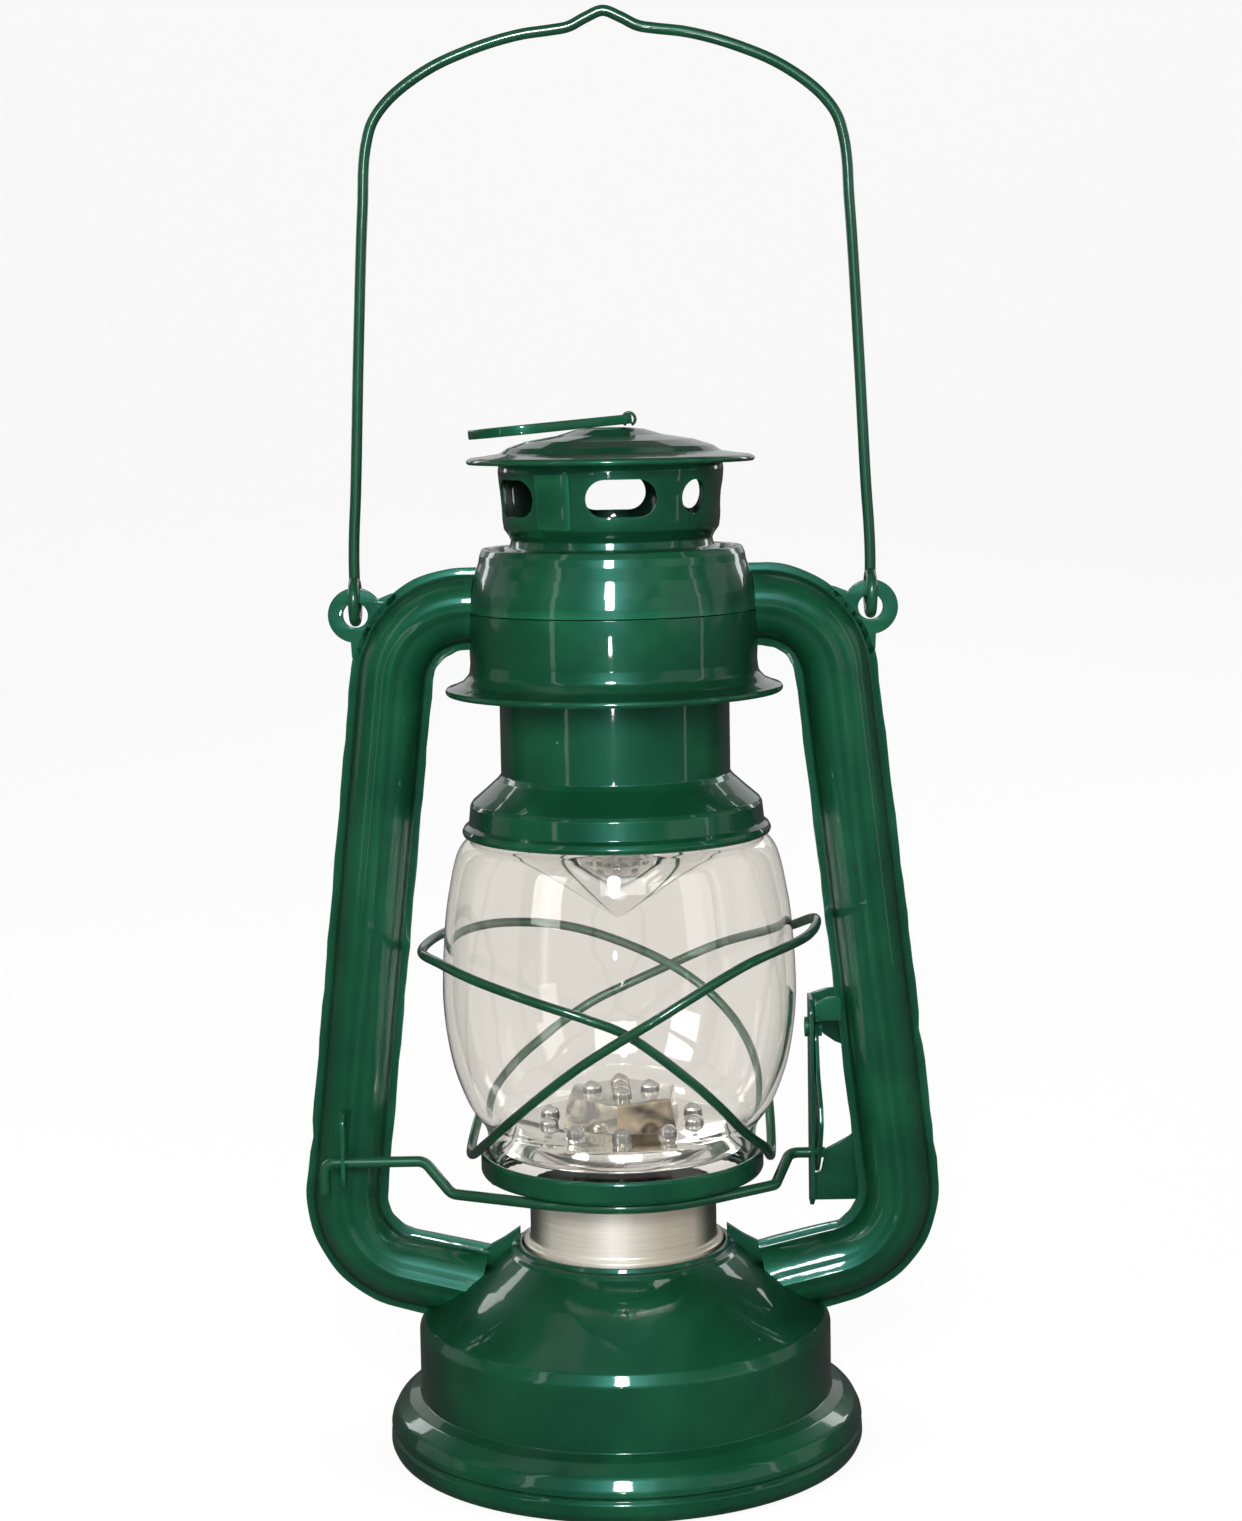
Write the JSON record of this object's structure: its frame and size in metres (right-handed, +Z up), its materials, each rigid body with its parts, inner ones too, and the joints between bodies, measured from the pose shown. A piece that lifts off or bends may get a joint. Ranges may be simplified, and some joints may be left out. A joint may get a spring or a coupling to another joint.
{
  "type": "battery camping lantern",
  "caption": "Barn-style battery camping lantern: pressed base, side tubes, vented hood, clear globe with crossed wire guards, swinging wire bail.",
  "frame": {"origin": "centre of the base underside, on the ground", "axes": "+Z up; the front of the lantern faces -Y; +X is the side with the lift lever"},
  "size_m": [0.1534, 0.1152, 0.3429],
  "materials": {
    "green_enamel": "deep green glossy enamel over pressed steel",
    "satin_steel": "satin silver",
    "chrome": "bright reflector finish",
    "clear_glass": "clear",
    "led_lens": "clear water-white lens",
    "black_plastic": "moulded black",
    "circuit_board": "white solder mask",
    "cell_jacket": "plain cell jacket with no marks",
    "contact_metal": "nickel-plated spring steel",
    "zinc_steel": "zinc plated",
    "wire_jacket": "insulated lead"
  },
  "bodies": {
    "frame": {"base_shell": "green_enamel", "base_bottom": "green_enamel", "battery_box": "black_plastic", "aa_cells": "cell_jacket", "contact_tabs": "contact_metal", "contact_springs": "contact_metal", "bottom_screws": "zinc_steel", "dimmer_potentiometer": "black_plastic", "dimmer_nut": "zinc_steel", "burner_collar": "satin_steel", "reflector_stem": "black_plastic", "reflector": "chrome", "led_pedestal": "chrome", "led_boards": "circuit_board", "leds": "led_lens", "lead_wires": "wire_jacket", "drum_lower_shell": "green_enamel", "drum_upper_shell": "green_enamel", "tube_right_front": "green_enamel", "tube_right_rear": "green_enamel", "tube_left_front": "green_enamel", "tube_left_rear": "green_enamel", "lever_bracket": "green_enamel", "lever_rivet": "green_enamel", "wire_guide_lug": "green_enamel"},
    "bail": {"bail_handle": "green_enamel"},
    "globe_carriage": {"globe_plate": "green_enamel", "globe": "clear_glass", "guard_hoop_a": "green_enamel", "guard_hoop_b": "green_enamel", "lift_wire": "green_enamel", "plate_ring_wire": "green_enamel"},
    "chimney": {"inner_chimney": "green_enamel", "crown": "green_enamel", "cap": "green_enamel", "ring_staple": "green_enamel", "cone_reflector": "chrome"},
    "top_ring": {"pull_ring": "green_enamel"},
    "lever": {"lift_lever": "green_enamel"},
    "dimmer": {"dimmer_knob": "black_plastic"},
    "door": {"battery_door": "black_plastic"}
  },
  "joints": [
    {"name": "bail_swing", "type": "hinge", "parent": "frame", "child": "bail", "pos_m": [0, 0, 0.206], "axis": [1, 0, 0], "range_deg": [-155, 155]},
    {"name": "globe_lift", "type": "slide", "parent": "frame", "child": "globe_carriage", "axis": [0, 0, 1], "range_m": [0, 0.008]},
    {"name": "lift_lever_pivot", "type": "hinge", "parent": "frame", "child": "lever", "pos_m": [0.0472, 0, 0.1015], "axis": [1, 0, 0], "range_deg": [0, 35.5]},
    {"name": "chimney_lift", "type": "slide", "parent": "globe_carriage", "child": "chimney", "axis": [0, 0, 1], "range_m": [0, 0.012]},
    {"name": "pull_ring_hinge", "type": "hinge", "parent": "chimney", "child": "top_ring", "pos_m": [0.0045, 0, 0.2478], "axis": [0, 1, 0], "range_deg": [0, 168]},
    {"name": "dimmer_turn", "type": "hinge", "parent": "frame", "child": "dimmer", "pos_m": [0, 0.05, 0.022], "axis": [0, 1, 0], "range_deg": [0, 270]},
    {"name": "battery_door_hinge", "type": "hinge", "parent": "frame", "child": "door", "pos_m": [0, -0.031, 0.0026], "axis": [1, 0, 0], "range_deg": [-100, 0]}
  ],
  "couplings": [
    {"joint": "lift_lever_pivot", "follows": "globe_lift", "rad_per_m": 76.358}
  ]
}
